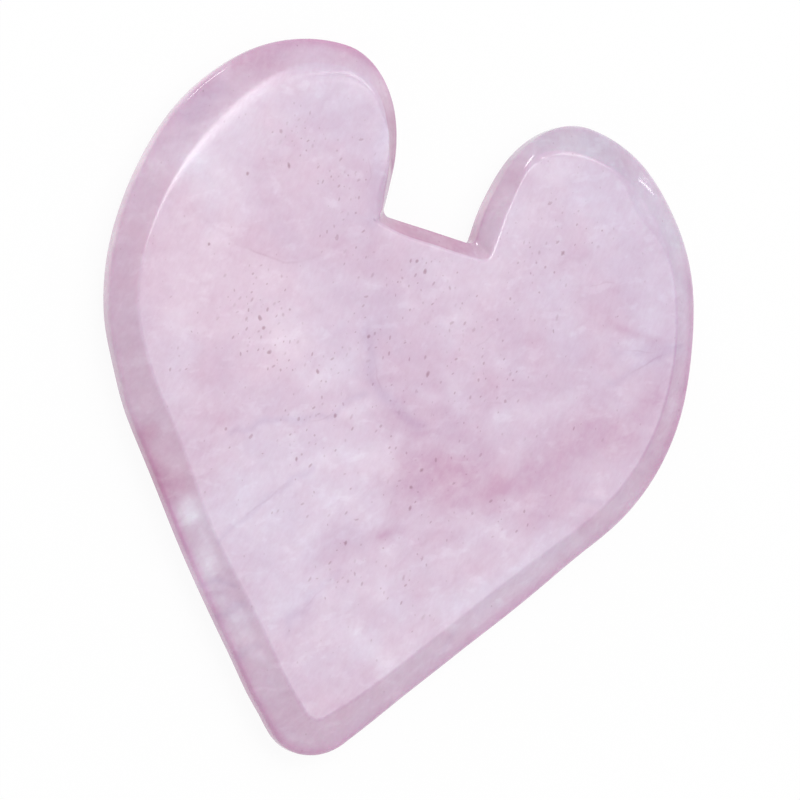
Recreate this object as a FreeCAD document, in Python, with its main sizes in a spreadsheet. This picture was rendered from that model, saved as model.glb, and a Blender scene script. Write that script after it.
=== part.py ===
"""Heart-shaped gua sha scraper: one flat plate of polished rose quartz.

The plate is cut from a slab, so both faces are flat and parallel. A bevel is ground all the way
round both faces: wide on the outside, narrow inside the notch that parts the two lobes. What is
left between the bevels is a thin rim, rounded where it meets the skin.

Frame: +Y from the tip towards the lobes, +X to the right, +Z up. The origin is under the middle
of the plate, on the face it lies on. The body itself is drawn about its own mid plane.
"""
import FreeCAD, Part

import math
import os

import Sketcher

SIZES = {
    # overall size of the heart
    "heart_length": 75.0,
    "heart_width": 69.4,
    "plate_thickness": 6.0,
    # the two lobes
    "lobe_spacing": 30.0,
    "widest_drop": 26.0,
    "flank_radius": 30.0,
    # the notch between them, a little left of the middle
    "notch_depth": 16.5,
    "notch_width": 11.1,
    "notch_shift": 0.7,
    "notch_corner_radius": 0.8,
    "left_wall_height": 3.3,
    "right_wall_height": 0.5,
    # the tip
    "tip_radius": 6.4,
    # the rim and the bevels that lead to it
    "rim_thickness": 2.3,
    "rim_edge_radius": 0.9,
    "bevel_width": 3.5,
    "notch_bevel_width": 1.9,
    # the flat face inside the bevels
    "face_left_crown_height": 5.0,
    "face_right_crown_height": 6.0,
    "face_corner_radius": 1.3,
    "face_tip_radius": 2.0,
}

# How a sketch constraint counts the points of a curve. Geometry -1, point START is its origin.
START, END, CENTRE = range(1, 4)
ORIGIN = (-1, START)

LEVEL_TOLERANCE = 0.0001


class Length:
    """A number of millimetres together with the sheet formula that gives it."""

    def __init__(self, value, formula):
        self.value = value
        self.formula = formula

    def __add__(self, other):
        return Length(self.value + other.value, f"({self.formula} + {other.formula})")

    def __sub__(self, other):
        return Length(self.value - other.value, f"({self.formula} - {other.formula})")

    def half(self):
        return Length(self.value / 2, f"({self.formula} / 2)")


def cell(alias):
    return Length(SIZES[alias], "Sizes." + alias)


def make_sheet(doc):
    sheet = doc.addObject("Spreadsheet::Sheet", "Sizes")
    for row, (alias, number) in enumerate(SIZES.items(), start=1):
        sheet.set(f"A{row}", alias)
        sheet.set(f"B{row}", str(number))
        sheet.setAlias(f"B{row}", alias)
    return sheet


def rim_outline():
    """Lengths of the outline at the rim, the largest one of the plate."""
    crown_range = cell("notch_depth") - cell("notch_corner_radius")
    return {
        "half_width": cell("heart_width").half(),
        "half_length": cell("heart_length").half(),
        "tip_radius": cell("tip_radius"),
        "tip_centre_drop": cell("heart_length").half() - cell("tip_radius"),
        "lobe_offset": cell("lobe_spacing").half(),
        "widest_drop": cell("widest_drop"),
        "flank_radius": cell("flank_radius"),
        "notch_depth": cell("notch_depth"),
        "corner_radius": cell("notch_corner_radius"),
        "left_wall_x": cell("notch_width").half() + cell("notch_shift"),
        "right_wall_x": cell("notch_width").half() - cell("notch_shift"),
        "left_crown_height": crown_range - cell("left_wall_height"),
        "right_crown_height": crown_range - cell("right_wall_height"),
    }


def face_outline():
    """Lengths of the outline of the flat face, a bevel's width inside the rim."""
    bevel = cell("bevel_width")
    notch_bevel = cell("notch_bevel_width")
    rim = rim_outline()
    half_length = rim["half_length"] - bevel
    return {
        "half_width": rim["half_width"] - bevel,
        "half_length": half_length,
        "tip_radius": cell("face_tip_radius"),
        "tip_centre_drop": half_length - cell("face_tip_radius"),
        "lobe_offset": rim["lobe_offset"],
        "widest_drop": rim["widest_drop"] - bevel,
        "flank_radius": rim["flank_radius"] - bevel,
        "notch_depth": rim["notch_depth"] - bevel + notch_bevel,
        "corner_radius": cell("face_corner_radius"),
        "left_wall_x": rim["left_wall_x"] + notch_bevel,
        "right_wall_x": rim["right_wall_x"] + notch_bevel,
        "left_crown_height": cell("face_left_crown_height"),
        "right_crown_height": cell("face_right_crown_height"),
    }


def quarter_ellipse(centre_x, centre_y, x_radius, y_radius, right_quarter):
    """The quarter of an upright ellipse above its centre, to the right or to the left of it."""
    centre = FreeCAD.Vector(centre_x, centre_y, 0)
    along_y = FreeCAD.Vector(0, y_radius, 0)
    along_x = FreeCAD.Vector(x_radius, 0, 0)
    if y_radius > x_radius:
        ellipse = Part.Ellipse(centre + along_y, centre - along_x, centre)
        top_angle = 0
    else:
        ellipse = Part.Ellipse(centre + along_x, centre + along_y, centre)
        top_angle = math.pi / 2
    start_angle = top_angle - math.pi / 2 if right_quarter else top_angle
    return Part.ArcOfEllipse(ellipse, start_angle, start_angle + math.pi / 2)


def circle_arc(centre_x, centre_y, radius, start_angle, end_angle, side):
    """An arc drawn for the right half (side 1), or its mirror image for the left half (-1)."""
    if side < 0:
        start_angle, end_angle = math.pi - end_angle, math.pi - start_angle
    centre = FreeCAD.Vector(side * centre_x, centre_y, 0)
    circle = Part.Circle(centre, FreeCAD.Vector(0, 0, 1), radius)
    return Part.ArcOfCircle(circle, start_angle, end_angle)


class HeartSketch:
    """A sketch of one closed heart outline, fully constrained by the lengths it is given."""

    def __init__(self, sketch, lengths):
        self.sketch = sketch
        self.lengths = lengths
        self.floor_y = self.number("half_length") - self.number("notch_depth")
        self.widest_y = self.number("half_length") - self.number("widest_drop")
        self.floor = self.draw_floor()
        self.tip = self.draw_tip()
        for side, hand in ((1, "right"), (-1, "left")):
            self.draw_half(side, hand)

    def number(self, name):
        return self.lengths[name].value

    def add(self, curve):
        return self.sketch.addGeometry(curve, False)

    def add_line(self, start, end):
        return self.add(Part.LineSegment(FreeCAD.Vector(*start, 0), FreeCAD.Vector(*end, 0)))

    def add_quarter(self, centre_x, centre_y, x_radius, y_radius, right_quarter):
        """Add a quarter ellipse and keep its long axis upright or level."""
        curve = quarter_ellipse(centre_x, centre_y, x_radius, y_radius, right_quarter)
        quarter = self.add(curve)
        self.sketch.exposeInternalGeometry(quarter)
        long_axis = quarter + 1
        self.constrain("Vertical" if y_radius > x_radius else "Horizontal", long_axis)
        return quarter

    def constrain(self, kind, *references):
        self.sketch.addConstraint(Sketcher.Constraint(kind, *references))

    def dimension(self, kind, name, *references):
        """Add a dimension and bind it to the sheet."""
        length = self.lengths[name]
        index = self.sketch.addConstraint(Sketcher.Constraint(kind, *references, length.value))
        self.sketch.setExpression(f"Constraints[{index}]", length.formula)

    def distance_from_middle(self, name, geometry, point, side):
        """Dimension how far a point lies from the Y axis, on its own side of it."""
        ends = (ORIGIN, (geometry, point))
        near, far = ends if side > 0 else ends[::-1]
        self.dimension("DistanceX", name, *near, *far)

    def side_angle(self):
        """How far the straight sides' outward normal points below the X axis."""
        centre_x = self.number("half_width") - self.number("flank_radius")
        drop = self.widest_y + self.number("tip_centre_drop")
        radius_step = self.number("flank_radius") - self.number("tip_radius")
        return math.atan2(centre_x, drop) + math.asin(radius_step / math.hypot(centre_x, drop))

    def draw_floor(self):
        left_end = self.number("corner_radius") - self.number("left_wall_x")
        right_end = self.number("right_wall_x") - self.number("corner_radius")
        floor = self.add_line((left_end, self.floor_y), (right_end, self.floor_y))
        self.constrain("Horizontal", floor)
        return floor

    def draw_tip(self):
        angle = self.side_angle()
        radius = self.number("tip_radius")
        centre_y = -self.number("tip_centre_drop")
        tip = self.add(circle_arc(0, centre_y, radius, math.pi + angle, 2 * math.pi - angle, 1))
        self.constrain("Vertical", tip, CENTRE, *ORIGIN)
        self.dimension("DistanceY", "tip_centre_drop", tip, CENTRE, *ORIGIN)
        self.dimension("Radius", "tip_radius", tip)
        return tip

    def draw_half(self, side, hand):
        """Draw one lobe from the notch floor over its top and down the side to the tip."""
        # On the left half every curve runs the other way round.
        first, last = (START, END) if side > 0 else (END, START)
        wall_x = self.number(f"{hand}_wall_x")
        lobe_x = self.number("lobe_offset")
        corner_radius = self.number("corner_radius")

        shoulder = self.add_quarter(
            side * lobe_x,
            self.widest_y,
            self.number("half_width") - lobe_x,
            self.number("widest_drop"),
            right_quarter=side > 0,
        )
        self.constrain("Horizontal", shoulder, CENTRE, shoulder, first)
        self.constrain("Vertical", shoulder, CENTRE, shoulder, last)
        self.distance_from_middle("half_width", shoulder, first, side)
        self.distance_from_middle("lobe_offset", shoulder, last, side)
        self.dimension("DistanceY", "half_length", *ORIGIN, shoulder, last)
        self.dimension("DistanceY", "widest_drop", shoulder, first, shoulder, last)

        crown_height = self.number(f"{hand}_crown_height")
        crown_y = self.number("half_length") - crown_height
        crown = self.add_quarter(
            side * lobe_x, crown_y, lobe_x - wall_x, crown_height, right_quarter=side < 0
        )
        self.constrain("Coincident", crown, first, shoulder, last)
        self.constrain("Vertical", crown, CENTRE, crown, first)
        self.constrain("Horizontal", crown, CENTRE, crown, last)
        self.dimension("DistanceY", f"{hand}_crown_height", crown, last, crown, first)
        self.distance_from_middle(f"{hand}_wall_x", crown, last, side)

        wall_foot = (side * wall_x, self.floor_y + corner_radius)
        wall = self.add_line((side * wall_x, crown_y), wall_foot)
        self.constrain("Coincident", wall, START, crown, last)
        self.constrain("Vertical", wall)

        corner_x = wall_x - corner_radius
        corner_y = self.floor_y + corner_radius
        corner = self.add(
            circle_arc(corner_x, corner_y, corner_radius, -math.pi / 2, 0, side)
        )
        self.constrain("Tangent", corner, last, wall, END)
        self.constrain("Tangent", corner, first, self.floor, last)
        self.dimension("Radius", "corner_radius", corner)
        if side > 0:
            self.dimension("DistanceY", "notch_depth", self.floor, last, shoulder, last)

        angle = self.side_angle()
        flank_radius = self.number("flank_radius")
        flank_x = self.number("half_width") - flank_radius
        flank = self.add(circle_arc(flank_x, self.widest_y, flank_radius, -angle, 0, side))
        self.constrain("Coincident", flank, last, shoulder, first)
        self.constrain("Horizontal", flank, CENTRE, flank, last)
        self.dimension("Radius", "flank_radius", flank)

        normal_x, normal_y = math.cos(angle), -math.sin(angle)
        tip_radius = self.number("tip_radius")
        side_top = (
            side * (flank_x + flank_radius * normal_x),
            self.widest_y + flank_radius * normal_y,
        )
        side_foot = (
            side * tip_radius * normal_x,
            tip_radius * normal_y - self.number("tip_centre_drop"),
        )
        straight = self.add_line(side_top, side_foot)
        self.constrain("Tangent", straight, START, flank, first)
        self.constrain("Tangent", straight, END, self.tip, last)


def mid_plane(body):
    for feature in body.Origin.OriginFeatures:
        if feature.Role == "XY_Plane":
            return feature
    raise RuntimeError("the body has no XY plane")


def add_outline(body, name, lengths, height):
    """Draw a heart outline on a plane parallel to the mid plane, at the height given."""
    sketch = body.newObject("Sketcher::SketchObject", name)
    sketch.AttachmentSupport = [(mid_plane(body), "")]
    sketch.MapMode = "FlatFace"
    sketch.setExpression("AttachmentOffset.Base.z", height.formula)
    HeartSketch(sketch, lengths)
    return sketch


def level_edges(shape, height):
    """Names of the edges that lie level at a height above the mid plane, or as far below it."""
    names = []
    for number, edge in enumerate(shape.Edges, start=1):
        box = edge.BoundBox
        level = box.ZLength < LEVEL_TOLERANCE
        if level and abs(abs(box.ZMin) - height) < LEVEL_TOLERANCE:
            names.append(f"Edge{number}")
    return names


def make_stone(doc):
    body = doc.addObject("PartDesign::Body", "HeartStone")
    body.Label = "heart_stone"
    body.setExpression("Placement.Base.z", cell("plate_thickness").half().formula)
    rim_height = cell("rim_thickness").half()
    face_height = cell("plate_thickness").half()

    rim_sketch = add_outline(body, "RimOutline", rim_outline(), rim_height)
    face_sketch = add_outline(body, "FaceOutline", face_outline(), face_height)

    rim = body.newObject("PartDesign::Pad", "Rim")
    rim.Profile = rim_sketch
    rim.Reversed = True
    rim.setExpression("Length", cell("rim_thickness").formula)

    bevel = body.newObject("PartDesign::AdditiveLoft", "Bevel")
    bevel.Profile = rim_sketch
    bevel.Sections = [face_sketch]
    bevel.Ruled = True

    back_bevel = body.newObject("PartDesign::Mirrored", "BackBevel")
    back_bevel.Originals = [bevel]
    back_bevel.MirrorPlane = (mid_plane(body), [""])
    body.Tip = back_bevel
    doc.recompute()

    rounding = body.newObject("PartDesign::Fillet", "RimRounding")
    rounding.Base = (back_bevel, level_edges(back_bevel.Shape, rim_height.value))
    rounding.setExpression("Radius", cell("rim_edge_radius").formula)
    body.Tip = rounding
    doc.recompute()
    return body


def check(doc):
    for item in doc.Objects:
        if "Invalid" in item.State or "Error" in item.State:
            raise RuntimeError(f"{item.Label} failed to recompute: {item.State}")
        shape = getattr(item, "Shape", None)
        if shape is None:
            continue
        if item.isDerivedFrom("App::OriginFeature") or item.isDerivedFrom("App::DatumElement"):
            continue
        if shape.isNull() or not shape.isValid():
            raise RuntimeError(f"{item.Label} has no valid shape")


def main():
    doc = FreeCAD.newDocument("GuaShaHeart")
    make_sheet(doc)
    doc.recompute()
    bodies = [make_stone(doc)]
    doc.recompute()
    check(doc)
    os.makedirs("parts", exist_ok=True)
    for body in bodies:
        body.Shape.exportStep(f"parts/{body.Label}.step")


main()
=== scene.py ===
"""Looks of the heart-shaped gua sha scraper: one polished rose quartz plate on a pale floor.

Lengths in this file are in millimetres, in the CAD frame, and become metres when a mesh is made.
"""
import math

import bpy
import numpy as np
from mathutils import Euler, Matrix, Quaternion, Vector, noise
from mathutils.geometry import delaunay_2d_cdt
from mathutils.kdtree import KDTree


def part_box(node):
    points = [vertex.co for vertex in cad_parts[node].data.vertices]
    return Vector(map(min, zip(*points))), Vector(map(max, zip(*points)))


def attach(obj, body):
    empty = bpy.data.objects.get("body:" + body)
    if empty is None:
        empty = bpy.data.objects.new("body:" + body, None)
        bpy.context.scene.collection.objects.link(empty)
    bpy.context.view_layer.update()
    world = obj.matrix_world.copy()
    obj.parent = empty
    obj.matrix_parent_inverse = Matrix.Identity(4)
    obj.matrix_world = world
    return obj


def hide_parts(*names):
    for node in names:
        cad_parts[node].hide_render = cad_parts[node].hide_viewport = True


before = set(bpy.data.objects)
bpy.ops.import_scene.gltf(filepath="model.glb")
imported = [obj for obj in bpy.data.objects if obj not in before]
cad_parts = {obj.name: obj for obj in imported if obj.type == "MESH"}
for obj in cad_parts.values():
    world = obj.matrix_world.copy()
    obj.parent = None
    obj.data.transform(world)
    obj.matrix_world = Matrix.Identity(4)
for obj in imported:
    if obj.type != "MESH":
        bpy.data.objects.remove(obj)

MM = 0.001
RNG = np.random.default_rng(7)
# Without a seed, noise_vector starts from another place at each run.
noise.seed_set(717)

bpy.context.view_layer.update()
plate_low, plate_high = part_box("heart_stone")

# ---------------------------------------------------------------- the stone's own sizes
HALF_WIDTH = plate_high.x / MM
HALF_LENGTH = plate_high.y / MM
THICKNESS = plate_high.z / MM
MID_HEIGHT = THICKNESS / 2

RIM_THICKNESS = 2.3
RIM_ROUNDING = 0.9
BEVEL_WIDTH = 3.5
NOTCH_BEVEL_WIDTH = 1.9
FACE_ROUNDING = 0.9

# What the outline of the rim and that of the flat face have in common.
LOBE_X = 15.0
WIDEST_DROP = 26.0
FLANK_RADIUS = 30.0
NOTCH_DEPTH = 16.5
LEFT_WALL_X = 6.25
RIGHT_WALL_X = 4.85

# Hand polishing: the waviness of an outline and the shallow hollows of the faces.
UNEVENNESS = 0.06
UNEVENNESS_SIZE = 7.0
UNEVENNESS_INWARD = 0.7
RIPPLE_DEPTH = 0.03
RIPPLE_SIZE = 9.0

# How fine the mesh is: rings across each rounding and bevel, and points on the flat faces.
RIM_ARC_RINGS = 7
BEVEL_RINGS = 7
FACE_ARC_RINGS = 12
TOP_SPACING = 0.36
BACK_SPACING = 0.55
# Any length along the flat face serves to give the direction of its rounding.
FACE_RUN = 3.0
# How far grid points keep from the face's edge and from specks, in spacings.
EDGE_CLEARANCE = 0.6
SPECK_CLEARANCE = 0.4
MERGE_DISTANCE = 1e-7

RIM_OUTLINE = {
    "half_width": HALF_WIDTH,
    "top": HALF_LENGTH,
    "tip": -HALF_LENGTH,
    "lobe_x": LOBE_X,
    "widest_drop": WIDEST_DROP,
    "flank_radius": FLANK_RADIUS,
    "tip_radius": 6.4,
    "notch_depth": NOTCH_DEPTH,
    "corner_radius": 0.8,
    "left_wall_x": LEFT_WALL_X,
    "right_wall_x": RIGHT_WALL_X,
    "left_crown_height": 12.4,
    "right_crown_height": 15.2,
}
FACE_OUTLINE = {
    "half_width": HALF_WIDTH - BEVEL_WIDTH,
    "top": HALF_LENGTH - BEVEL_WIDTH,
    "tip": -HALF_LENGTH + BEVEL_WIDTH,
    "lobe_x": LOBE_X,
    "widest_drop": WIDEST_DROP - BEVEL_WIDTH,
    "flank_radius": FLANK_RADIUS - BEVEL_WIDTH,
    "tip_radius": 2.0,
    "notch_depth": NOTCH_DEPTH - BEVEL_WIDTH + NOTCH_BEVEL_WIDTH,
    "corner_radius": 1.3,
    "left_wall_x": LEFT_WALL_X + NOTCH_BEVEL_WIDTH,
    "right_wall_x": RIGHT_WALL_X + NOTCH_BEVEL_WIDTH,
    "left_crown_height": 5.0,
    "right_crown_height": 6.0,
}
# Points along each stretch of the outline, from the notch floor to the tip.
STRETCH_POINTS = {
    "floor": 20,
    "corner": 8,
    "wall": 16,
    "crown": 66,
    "shoulder": 110,
    "flank": 66,
    "side": 130,
    "tip": 22,
}

# Where hand grinding left an outline a little outside or inside its plain curve:
# (x, y, reach, shift outward).
RIM_SHIFTS = [
    (-17.0, -20.0, 8.0, 0.25),
    (-5.0, -36.0, 3.0, -0.5),
    (-9.5, -31.0, 5.0, -0.15),
    (-33.0, 14.0, 12.0, -0.3),
    (-30.5, -3.0, 4.5, -0.4),
    (33.5, 17.0, 8.0, -0.35),
    (26.5, -7.5, 7.0, -0.4),
    (12.0, -22.0, 9.0, -0.12),
    (26.0, 30.0, 6.0, -0.15),
    (6.0, 28.0, 4.0, -0.15),
]
FACE_SHIFTS = [
    (-31.0, 5.0, 8.0, 0.6),
    (-16.0, -17.0, 8.0, 0.75),
    (0.0, -34.0, 4.0, -0.6),
    (15.0, -12.0, 8.0, -0.3),
    (6.8, 29.0, 3.0, -0.8),
    (9.8, 32.8, 3.4, 0.35),
    (6.6, 20.5, 2.6, 0.3),
    (-8.0, 20.6, 3.0, 1.0),
    (-8.2, 25.5, 2.8, 0.5),
    (-8.6, 30.8, 2.8, -0.65),
    (-13.5, 34.4, 3.6, 0.5),
    (-20.0, 33.8, 5.0, 0.75),
    (-26.5, 26.0, 7.5, -0.95),
    (0.0, 19.1, 5.0, 0.2),
]
# Where the edge of the flat face is ground rounder: (x, y, reach, extra radius).
ROUND_SPOTS = [
    (-24.0, 29.0, 12.0, 6.6),
    (11.0, 34.0, 7.0, 2.0),
    (8.0, 27.0, 4.0, 1.7),
    (24.0, 31.6, 3.8, 8.6),
    (10.3, 31.7, 2.2, -1.3),
    (-20.0, 34.0, 4.0, 2.0),
    (-9.0, 32.5, 3.0, -1.0),
]
# The same for the rim.
RIM_ROUND_SPOTS = [
    (24.5, 31.0, 5.0, 0.9),
    (-25.0, 32.0, 6.0, 0.4),
]
# How strong each tint of the bevels and the rim is round the outline: (x, y, reach, change),
# added to a level that holds all round, or to nothing where no level is named. Of the tints
# below, all but the mauve are painted shade and painted highlights.
# Painted shade: the sloped bevel gets less light, so it is painted a darker, deeper pink.
BEVEL_SHADE_LEVEL = 0.95
BEVEL_SHADE_SPOTS = [
    (34.0, 16.0, 16.0, -0.3),
    (18.0, 36.0, 9.0, -0.3),
    (18.0, -14.0, 13.0, -0.75),
    (-14.0, -20.0, 9.0, -0.45),
    (-32.0, 24.0, 9.0, -0.1),
]
# Painted shade: a darker, deeper pink zone close to the rim.
RIM_SHADE_LEVEL = 0.1
RIM_SHADE_SPOTS = [
    (-17.0, -20.0, 13.0, 0.75),
    (0.0, -37.0, 9.0, 0.6),
    (0.0, 21.0, 4.0, 0.4),
]
# Painted shade: the same for a wider, darker pink zone that fades slowly up the bevel.
WIDE_RIM_SHADE_SPOTS = [
    (19.0, -16.0, 14.0, 0.75),
    (33.0, 12.0, 12.0, 0.75),
    (-14.0, 37.5, 9.0, 0.8),
    (-30.0, 24.0, 6.0, 0.15),
    (4.0, -36.0, 6.0, 0.3),
]
# Painted shade: a thin dark pink line around the rim.
RIM_SHADE_LINE_SPOTS = [
    (-14.0, 37.0, 10.0, 1.0),
    (34.0, 12.0, 11.0, 0.9),
    (0.0, 21.0, 5.0, 0.8),
    (-19.0, -14.0, 9.0, 0.9),
    (-8.0, -31.0, 7.0, 0.7),
]
# Painted shade: where the whole bevel of the notch, a recess, is darkened to a deep pink.
NOTCH_SHADE_SPOTS = [
    (-3.4, 20.2, 3.0, 1.0),
    (1.6, 20.2, 3.0, 1.0),
    (-7.6, 30.6, 3.2, 1.0),
    (-6.6, 27.0, 2.6, 0.5),
]
# Painted highlight: where the upright rim is painted paler, as if catching light.
RIM_HIGHLIGHT_SPOTS = [
    (-33.0, 20.0, 6.0, 0.9),
    (-30.0, 28.0, 3.0, 1.0),
    (-34.0, 8.0, 6.0, 0.6),
    (5.0, 24.5, 4.5, 0.9),
]
# Painted highlight: where the middle of the bevel is painted paler, a light band along it.
MID_BEVEL_HIGHLIGHT_SPOTS = [
    (33.0, 16.0, 10.0, 0.5),
    (16.0, -13.0, 8.0, 0.6),
    (-17.0, -16.0, 7.0, 1.0),
    (-10.0, -26.0, 6.0, 0.8),
    (27.0, 27.0, 5.0, 0.4),
]
# Painted shade: a thin dark line along the edge of the flat face.
EDGE_SHADE_LINE_SPOTS = [
    (31.0, 12.0, 13.0, 1.0),
    (3.0, -30.0, 9.0, 0.6),
]
# Where the bevel is a greyer mauve.
MAUVE_SPOTS = [
    (10.5, 35.5, 4.0, 0.7),
    (17.0, 36.5, 6.0, 0.8),
    (28.0, 29.0, 5.0, 0.5),
]
# Where the polish along the face edge is softer.
SOFT_EDGE_SPOTS = [
    (-28.0, 26.0, 9.0, 0.9),
    (-20.0, 33.0, 5.0, 0.8),
    (-31.0, 12.0, 7.0, 0.8),
]

# ---------------------------------------------------------------- what lies in the stone
# How pink the stone is where nothing is drawn.
BLUSH_LEVEL = 0.72
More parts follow.
